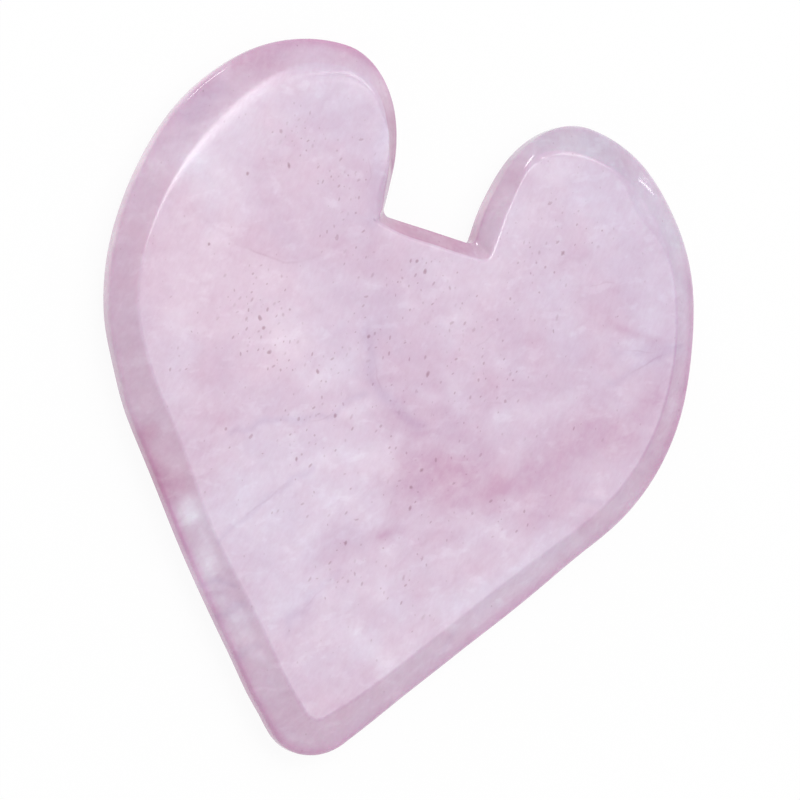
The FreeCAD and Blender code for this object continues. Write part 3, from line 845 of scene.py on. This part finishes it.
def dust_field(points):
    """How thickly fine dust lies: more around the clusters of specks."""
    total = np.full(len(points), DUST_LEVEL)
    for x, y, spread, count in SPECK_CLUSTERS[:-1]:
        gap = np.hypot(points[:, 0] - x, points[:, 1] - y)
        total += DUST_PER_SPECK * count * np.exp(-((gap / (spread * DUST_SPREAD)) ** 2))
    return np.clip(total, 0, 1)


def colour_fields(points):
    """Named values at each point, which the material turns into colour."""
    broad = wander(wander(points, *BROAD_WANDER), *SMALL_WANDER)
    fine = wander(points, *FINE_WANDER)
    return {
        "blush": BLUSH_LEVEL + stroke_field(broad, BLUSH_STROKES) + sheet_field(fine),
        "warmth": stroke_field(broad, WARMTH_STROKES),
        "vein": np.clip(stroke_field(fine, VEIN_STROKES), 0, 1),
        "dust": dust_field(points),
        # The bevel and rim fields below, up to the mauve, are painted shade and painted highlights.
        "bevel_shade": spot_field(points, BEVEL_SHADE_LEVEL, BEVEL_SHADE_SPOTS),
        "rim_shade": spot_field(points, RIM_SHADE_LEVEL, RIM_SHADE_SPOTS),
        "wide_rim_shade": spot_field(points, 0, WIDE_RIM_SHADE_SPOTS),
        "rim_shade_line": spot_field(points, 0, RIM_SHADE_LINE_SPOTS),
        "notch_depth": spot_field(points, 0, NOTCH_SHADE_SPOTS),
        "rim_highlight": spot_field(points, 0, RIM_HIGHLIGHT_SPOTS),
        "mid_bevel_highlight": spot_field(points, 0, MID_BEVEL_HIGHLIGHT_SPOTS),
        "edge_shade_line": spot_field(points, 0, EDGE_SHADE_LINE_SPOTS),
        "mauve": spot_field(points, 0, MAUVE_SPOTS),
        "soft_edge": spot_field(points, 0, SOFT_EDGE_SPOTS),
    }


# ---------------------------------------------------------------- whole stone
def ripple(x, y):
    """How far hand polishing took the surface down here."""
    return RIPPLE_DEPTH * (noise.noise(Vector((x / RIPPLE_SIZE, y / RIPPLE_SIZE, 11))) + 1) / 2


class StoneMesh:
    """Points, their named values and the polygons between them."""

    def __init__(self):
        self.points = []
        self.values = {"edge_share": [], "speck": [], "thread": []}
        self.polygons = []

    def add(self, plan, heights, share, speck=0.0, thread=0.0):
        """Add points at heights above the mid plane. Returns the first one's number."""
        first = len(self.points)
        for (x, y), height, own_share in zip(plan, heights, share):
            sunk = ripple(x, y) * min(1, own_share)
            self.points.append((x, y, height - math.copysign(sunk, height)))
        for name, value in (("edge_share", share), ("speck", speck), ("thread", thread)):
            self.values[name].append(np.broadcast_to(value, len(plan)))
        return first

    def add_strip(self, outer, inner, count, upper):
        for index in range(count):
            after = (index + 1) % count
            quad = (outer + index, outer + after, inner + after, inner + index)
            self.polygons.append(quad[::-1] if upper else quad)

    def add_face(self, last_ring, loop, upper):
        """Fill the flat face inside the last ring, with its specks and hairlines."""
        specks = scatter_specks(loop, 1.0 if upper else BACK_SPECK_SHARE)
        speck_places, tones, depths = speck_points(specks)
        thread_places, threads = clear_thread_points(loop, speck_places)
        extra = np.vstack([speck_places, thread_places])
        points, triangles = fill_face(loop, TOP_SPACING if upper else BACK_SPACING, extra)

        count = len(loop)
        own = points[count:]
        depth = np.zeros(len(own))
        speck = np.zeros(len(own))
        thread = np.zeros(len(own))
        depth[:len(depths)] = depths
        speck[:len(tones)] = tones
        thread[len(tones):len(extra)] = threads
        height = MID_HEIGHT - depth
        share = np.full(len(own), ON_FACE)
        base = self.add(own, height if upper else -height, share, speck, thread)
        place = np.concatenate([last_ring + np.arange(count), base + np.arange(len(own))])
        a, b, c = (points[triangles[:, corner]] for corner in range(3))
        turn = (b - a)[:, 0] * (c - a)[:, 1] - (b - a)[:, 1] * (c - a)[:, 0]
        for corners, faces_up in zip(place[triangles].tolist(), turn > 0):
            self.polygons.append(corners if faces_up == upper else corners[::-1])

    def make_object(self, name):
        mesh = bpy.data.meshes.new(f"{name}_surface")
        points = np.array(self.points)
        points[:, 2] += MID_HEIGHT
        mesh.from_pydata((points * MM).tolist(), [], self.polygons)
        mesh.shade_smooth()
        fields = {field: np.concatenate(value) for field, value in self.values.items()}
        fields.update(colour_fields(points[:, :2]))
        for field, value in fields.items():
            attribute = mesh.attributes.new(field, "FLOAT", "POINT")
            attribute.data.foreach_set("value", np.asarray(value, dtype=np.float32))
        made = bpy.data.objects.new(name, mesh)
        bpy.context.collection.objects.link(made)
        return made


def build_stone():
    rim = shifted(outline(RIM_OUTLINE), RIM_SHIFTS, 1)
    face = shifted(outline(FACE_OUTLINE), FACE_SHIFTS, 2)
    rings = bevel_rings(rim, face)
    count = len(rim)
    stone = StoneMesh()
    equator = stone.add(*rings[0])
    for upper in (True, False):
        outer = equator
        for plan, height, share in rings[1:]:
            inner = stone.add(plan, height if upper else -height, share)
            stone.add_strip(outer, inner, count, upper)
            outer = inner
        stone.add_face(outer, rings[-1][0], upper)
    return stone.make_object("heart_stone_polished")


# ---------------------------------------------------------------- materials
PALE = (0.777, 0.713, 0.818)
DEEP = (0.523, 0.327, 0.472)
# The tones that are wholly pale and wholly deep.
PALE_TONE = -4.0
DEEP_TONE = 4.0
WARM_TINT = (1.03, 0.985, 0.98)
COOL_TINT = (0.965, 1.01, 1.02)
# How much warmth gives the whole warm tint.
FULL_WARMTH = 2.5
VEIN_TINT = (0.86, 0.83, 0.9)
THREAD_TINT = (0.8, 0.68, 0.74)
SPECK_TINT = (0.52, 0.36, 0.4)
# Painted shade and painted highlights on the bevels and rim, and the mauve tint.
BEVEL_SHADE_TINT = (0.98, 0.94, 0.945)
NOTCH_SHADE_TINT = (0.84, 0.69, 0.75)
RIM_HIGHLIGHT_TINT = (1.3, 1.42, 1.3)
MID_BEVEL_HIGHLIGHT_TINT = (1.06, 1.1, 1.08)
RIM_SHADE_TINT = (0.93, 0.74, 0.86)
EDGE_SHADE_LINE_TINT = (0.93, 0.85, 0.91)
MAUVE_TINT = (0.91, 1.05, 1.0)

# Tints across the rim and bevel, all painted shade and painted highlights but for the mauve:
# (attribute with their strength, tint, fades). Each fade is a smooth step in edge_share, which
# is 0 on the middle of the rim, 1 at the edge of the flat face and 2 on the face itself.
EDGE_PAINTED_LIGHT_AND_TINTS = [
    ("bevel_shade", BEVEL_SHADE_TINT, [(1.03, 0.93)]),
    ("rim_shade", RIM_SHADE_TINT, [(0.3, 0.05)]),
    ("wide_rim_shade", RIM_SHADE_TINT, [(0.55, 0.1)]),
    ("rim_shade_line", RIM_SHADE_TINT, [(0.14, 0.04)]),
    ("notch_depth", NOTCH_SHADE_TINT, [(1.0, 0.93)]),
    ("rim_highlight", RIM_HIGHLIGHT_TINT, [(0.07, 0.0)]),
    ("mid_bevel_highlight", MID_BEVEL_HIGHLIGHT_TINT, [(0.28, 0.42), (0.85, 0.65)]),
    ("edge_shade_line", EDGE_SHADE_LINE_TINT, [(0.9, 0.98), (1.07, 1.0)]),
    ("mauve", MAUVE_TINT, [(1.03, 0.93)]),
]
SOFT_EDGE_FADES = [(0.4, 0.7), (1.9, 1.3)]

# Layers of noise: (turn about Z in degrees, sizes in mm, place, strength, detail, roughness,
# distortion).
CLOUDS = (20, (7, 5, 9), (0, 0, 0), 4.0, 3.0, 0.5, 0.6)
WISPS = (35, (2.6, 1.5, 3), (3, 1, 0), 1.8, 4.0, 0.5, 0.9)
GRAIN = (-12, (0.35, 1.1, 1), (0, 0, 0), 1.9, 3.0, 0.6, 0.2)
CRUMBS = (0, (0.8, 0.8, 0.8), (0, 0, 0), 1.8, 4.0, 0.6, 0.0)
STREAKS = (50, (5, 1.1, 4), (0, 0, 0), 2.0, 3.0, 0.5, 0.7)
WINDOWS = (25, (3.2, 2.0, 3), (1, 4, 0), 1.0, 3.0, 0.6, 0.25)
SHIMMER = (0, (4, 4, 4), (7, 2, 0), 5.0, 2.0, 0.5, 0.0)
POLISH = (15, (6, 3, 6), (0, 0, 0), 0.12, 4.0, 0.6, 0.0)
SMEARS = (-35, (0.25, 5, 1), (0, 0, 0), 0.05, 2.0, 0.5, 0.0)
FINE_RELIEF = (0, (0.5, 0.5, 0.5), (0, 0, 0), 0.25, 3.0, 0.5, 0.0)
# The streaks grow from one Y to another, towards the tip.
STREAKS_START = 8.0
STREAKS_FULL = -12.0
# Where the noise of the windows rises through this range, the stone is milkier by this tone.
WINDOW_RANGE = (0.04, 0.16)
WINDOW_TONE = -0.9

ROUGHNESS = 0.1
SPECK_ROUGHNESS = 0.35
SOFT_EDGE_ROUGHNESS = 0.1
QUARTZ_IOR = 1.54
SUBSURFACE_WEIGHT = 0.4
SUBSURFACE_RADIUS = (1.0, 0.5, 0.75)
SUBSURFACE_SCALE = 1.2 * MM
BUMP_STRENGTH = 0.25
BUMP_DEPTH = 0.03 * MM

# Fine dust: one dot at most in each cell, (turn, sizes, place) of the cells.
DUST_CELLS = (8, (0.75, 1.05, 0.9), (5, 3, 1))
DUST_RADIUS = 0.07
DUST_EXTRA_RADIUS = 0.09
DUST_FADE = (1.2, 0.5)
DUST_TONE = 0.45

FLOOR_COLOUR = (0.9, 0.9, 0.9, 1)
FLOOR_GLOW = 0.92


class Graph:
    """Short ways to add and join a material's nodes."""

    def __init__(self, material):
        material.use_nodes = True
        self.tree = material.node_tree

    def add(self, kind, inputs=(), **settings):
        node = self.tree.nodes.new(f"ShaderNode{kind}")
        for name, value in settings.items():
            setattr(node, name, value)
        for place, value in dict(inputs).items():
            self.put(node.inputs[place], value)
        return node

    def put(self, socket, value):
        if isinstance(value, bpy.types.NodeSocket):
            self.tree.links.new(value, socket)
        else:
            socket.default_value = value

    def math(self, operation, first, second):
        return self.add("Math", {0: first, 1: second}, operation=operation).outputs[0]

    def total(self, *values):
        result = values[0]
        for value in values[1:]:
            result = self.math("ADD", result, value)
        return result

    def attribute(self, name):
        return self.add("Attribute", attribute_name=name).outputs["Fac"]

    def fade(self, value, start, end):
        """A smooth step from 0 at start to 1 at end."""
        inputs = {"Value": value, "From Min": start, "From Max": end}
        return self.add("MapRange", inputs, interpolation_type="SMOOTHSTEP").outputs[0]

    def fade_linear(self, value, start, end):
        inputs = {"Value": value, "From Min": start, "From Max": end}
        return self.add("MapRange", inputs, clamp=True).outputs[0]

    def stretched(self, where, turn, sizes, place):
        """Coordinates turned about Z, in units of the three sizes."""
        inputs = {"Vector": where, "Rotation": (0, 0, math.radians(turn)), "Scale": sizes,
                  "Location": place}
        return self.add("Mapping", inputs, vector_type="TEXTURE").outputs[0]

    def noise(self, where, strength, detail, roughness, distortion):
        """Noise around zero, one feature or so to each unit of its coordinates."""
        inputs = {"Vector": where, "Scale": 1.0, "Detail": detail, "Roughness": roughness,
                  "Distortion": distortion}
        value = self.add("TexNoise", inputs).outputs["Fac"]
        centred = self.math("SUBTRACT", value, 0.5)
        return self.math("MULTIPLY", centred, strength)

    def layer(self, where, settings):
        """A layer of noise from its row of settings."""
        turn, sizes, place, strength, detail, roughness, distortion = settings
        where = self.stretched(where, turn, sizes, place)
        return self.noise(where, strength, detail, roughness, distortion)

    def within(self, value, fades, strength):
        """A strength that holds only where the value is inside all the fades."""
        for start, end in fades:
            strength = self.math("MULTIPLY", strength, self.fade(value, start, end))
        return strength

    def blend(self, share, first, second):
        """Mix two colours."""
        inputs = {0: share, 6: first, 7: second}
        return self.add("Mix", inputs, data_type="RGBA").outputs[2]

    def tint(self, share, colour, tint):
        """Multiply a colour by a tint where the share is 1."""
        inputs = {0: share, 6: colour, 7: (*tint, 1)}
        return self.add("Mix", inputs, data_type="RGBA", blend_type="MULTIPLY").outputs[2]


def quartz_colour(graph, where):
    """The pink of the stone before its edges and specks: clouds, warmth, veins and hairlines."""
    height_y = graph.add("SeparateXYZ", {0: where}).outputs[1]
    towards_tip = graph.fade(height_y, STREAKS_START, STREAKS_FULL)
    streaks = graph.math("MULTIPLY", graph.layer(where, STREAKS), towards_tip)
    open_windows = graph.fade(graph.layer(where, WINDOWS), *WINDOW_RANGE)
    windows = graph.math("MULTIPLY", open_windows, WINDOW_TONE)
    layers = [graph.layer(where, settings) for settings in (CLOUDS, WISPS, GRAIN, CRUMBS)]
    tone = graph.total(graph.attribute("blush"), *layers, streaks, windows)
    colour = graph.blend(graph.fade_linear(tone, PALE_TONE, DEEP_TONE), (*PALE, 1), (*DEEP, 1))

    warmth = graph.math("ADD", graph.attribute("warmth"), graph.layer(where, SHIMMER))
    colour = graph.tint(graph.fade_linear(warmth, 0.0, FULL_WARMTH), colour, WARM_TINT)
    colour = graph.tint(graph.fade_linear(warmth, 0.0, -FULL_WARMTH), colour, COOL_TINT)
    colour = graph.tint(graph.attribute("vein"), colour, VEIN_TINT)
    return graph.tint(graph.attribute("thread"), colour, THREAD_TINT)


def stone_material():
    material = bpy.data.materials.new("rose_quartz")
    graph = Graph(material)
    shader = graph.tree.nodes["Principled BSDF"]
    object_place = graph.add("TexCoord").outputs["Object"]
    inputs = {0: object_place, 1: (1 / MM, 1 / MM, 1 / MM)}
    where = graph.add("VectorMath", inputs, operation="MULTIPLY").outputs[0]

    colour = quartz_colour(graph, where)
    share = graph.attribute("edge_share")
    # Edge tints: painted shade and painted highlights on the bevels and rim, and the mauve.
    for name, tint, fades in EDGE_PAINTED_LIGHT_AND_TINTS:
        colour = graph.tint(graph.within(share, fades, graph.attribute(name)), colour, tint)
    dust = dust_dots(graph, where)
    dark = graph.math("MAXIMUM", graph.attribute("speck"), dust)
    colour = graph.tint(dark, colour, SPECK_TINT)
    graph.put(shader.inputs["Base Color"], colour)

    soft_edge = graph.within(share, SOFT_EDGE_FADES, graph.attribute("soft_edge"))
    roughness = graph.total(
        graph.layer(where, POLISH),
        graph.layer(where, SMEARS),
        ROUGHNESS,
        graph.math("MULTIPLY", dark, SPECK_ROUGHNESS),
        graph.math("MULTIPLY", soft_edge, SOFT_EDGE_ROUGHNESS),
    )
    graph.put(shader.inputs["Roughness"], roughness)

    clear = graph.math("SUBTRACT", 1.0, dark)
    subsurface = graph.math("MULTIPLY", clear, SUBSURFACE_WEIGHT)
    graph.put(shader.inputs["Subsurface Weight"], subsurface)
    shader.inputs["Subsurface Radius"].default_value = SUBSURFACE_RADIUS
    shader.inputs["Subsurface Scale"].default_value = SUBSURFACE_SCALE
    shader.inputs["IOR"].default_value = QUARTZ_IOR

    relief = graph.math("SUBTRACT", graph.layer(where, FINE_RELIEF), dust)
    inputs = {"Strength": BUMP_STRENGTH, "Distance": BUMP_DEPTH, "Height": relief}
    graph.put(shader.inputs["Normal"], graph.add("Bump", inputs).outputs[0])
    return material


def dust_dots(graph, where):
    """Scattered dots of fine dust, more of them where the dust attribute is high."""
    cells = graph.stretched(where, *DUST_CELLS)
    inputs = {"Vector": cells, "Scale": 1.0, "Randomness": 1.0}
    cell = graph.add("TexVoronoi", inputs)
    lots = graph.add("SeparateColor", {0: cell.outputs["Color"]})
    chosen = graph.math("LESS_THAN", lots.outputs[0], graph.attribute("dust"))
    extra = graph.math("MULTIPLY", lots.outputs[1], DUST_EXTRA_RADIUS)
    radius = graph.math("ADD", extra, DUST_RADIUS)
    gap = graph.math("DIVIDE", cell.outputs["Distance"], radius)
    dot = graph.fade(gap, *DUST_FADE)
    tone = graph.math("MULTIPLY", lots.outputs[2], DUST_TONE)
    return graph.math("MULTIPLY", graph.math("MULTIPLY", dot, tone), chosen)


def floor_material():
    """A pale floor that camera and mirror rays see as near white; light on it is real."""
    material = bpy.data.materials.new("pale_floor")
    graph = Graph(material)
    graph.tree.nodes.remove(graph.tree.nodes["Principled BSDF"])
    diffuse = graph.add("BsdfDiffuse", {"Color": FLOOR_COLOUR})
    glow = graph.add("Emission", {"Strength": 1.0})
    path = graph.add("LightPath")
    seen = graph.math("MAXIMUM", path.outputs["Is Camera Ray"], path.outputs["Is Glossy Ray"])
    share = graph.math("MULTIPLY", seen, FLOOR_GLOW)
    mix = graph.add("MixShader", {0: share, 1: diffuse.outputs[0], 2: glow.outputs[0]})
    graph.put(graph.tree.nodes["Material Output"].inputs["Surface"], mix.outputs[0])
    return material


# ---------------------------------------------------------------- stage, light and camera
FLOOR_REACH = 3.0
WORLD_LIGHT = 0.71
# Soft lamps: (name, direction from the stone, distance, (width, height), power, roll, shape).
# Three of them make one key light whose strength falls off towards the back.
LAMPS = [
    ("key_front", (-0.12, 0.38, 0.915), 1.2, (0.66, 0.2), 2.2, 43, "ELLIPSE"),
    ("key_middle", (0.02, 0.333, 0.94), 1.2, (0.66, 0.19), 1.15, 43, "ELLIPSE"),
    ("key_back", (0.16, 0.27, 0.95), 1.2, (0.46, 0.17), 0.45, 43, "RECTANGLE"),
    ("key_north", (0.36, 0.5, 0.79), 1.2, (0.34, 0.24), 0.8, 0, "RECTANGLE"),
    ("face_sheen", (0.36, 0.09, 0.93), 1.3, (0.5, 0.55), 1.1, 0, "RECTANGLE"),
    ("back_left", (-0.59, 0.76, 0.27), 1.2, (0.3, 0.14), 1.4, 0, "RECTANGLE"),
    ("back_right", (0.72, 0.66, 0.213), 1.2, (0.12, 0.045), 0.11, 0, "ELLIPSE"),
]
# The photograph's view: the camera leans to the stone's left and is rolled, from this far.
LENS = 137.6
CAMERA_LEAN = -21.83
CAMERA_ROLL = 15.59
CAMERA_DISTANCE = 0.3327
CAMERA_AIM = (1.48, 2.35, MID_HEIGHT)


def add_floor():
    mesh = bpy.data.meshes.new("floor")
    far = FLOOR_REACH
    corners = [(-far, -far, 0), (far, -far, 0), (far, far, 0), (-far, far, 0)]
    mesh.from_pydata(corners, [], [(0, 1, 2, 3)])
    floor = bpy.data.objects.new("floor", mesh)
    floor.data.materials.append(floor_material())
    bpy.context.collection.objects.link(floor)


def set_world():
    world = bpy.data.worlds.new("studio")
    bpy.context.scene.world = world
    world.use_nodes = True
    background = world.node_tree.nodes["Background"]
    background.inputs["Color"].default_value = (1, 1, 1, 1)
    background.inputs["Strength"].default_value = WORLD_LIGHT


def add_softbox(name, direction, distance, size, power, roll, shape):
    """A flat lamp at a distance in a direction, facing the middle of the stone.

    Its size is (width, height). The roll in degrees turns it about its own axis.
    """
    data = bpy.data.lights.new(name, "AREA")
    data.shape = shape
    data.size, data.size_y = size
    data.energy = power
    lamp = bpy.data.objects.new(name, data)
    lamp.location = Vector(direction).normalized() * distance
    turn = Quaternion((0, 0, 1), math.radians(roll))
    lamp.rotation_euler = (lamp.location.to_track_quat("Z", "Y") @ turn).to_euler()
    bpy.context.collection.objects.link(lamp)


def add_camera():
    data = bpy.data.cameras.new("camera")
    data.lens = LENS
    data.clip_end = 10
    camera = bpy.data.objects.new("camera", data)
    turn = Euler((0, math.radians(CAMERA_LEAN), math.radians(CAMERA_ROLL)))
    camera.rotation_euler = turn
    back = turn.to_matrix() @ Vector((0, 0, 1))
    camera.location = Vector(CAMERA_AIM) * MM + back * CAMERA_DISTANCE
    bpy.context.collection.objects.link(camera)
    bpy.context.scene.camera = camera


bpy.context.scene.view_settings.view_transform = "Standard"
stone = build_stone()
stone.data.materials.append(stone_material())
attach(stone, "root")
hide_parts("heart_stone")
add_floor()
set_world()
for lamp in LAMPS:
    add_softbox(*lamp)
add_camera()
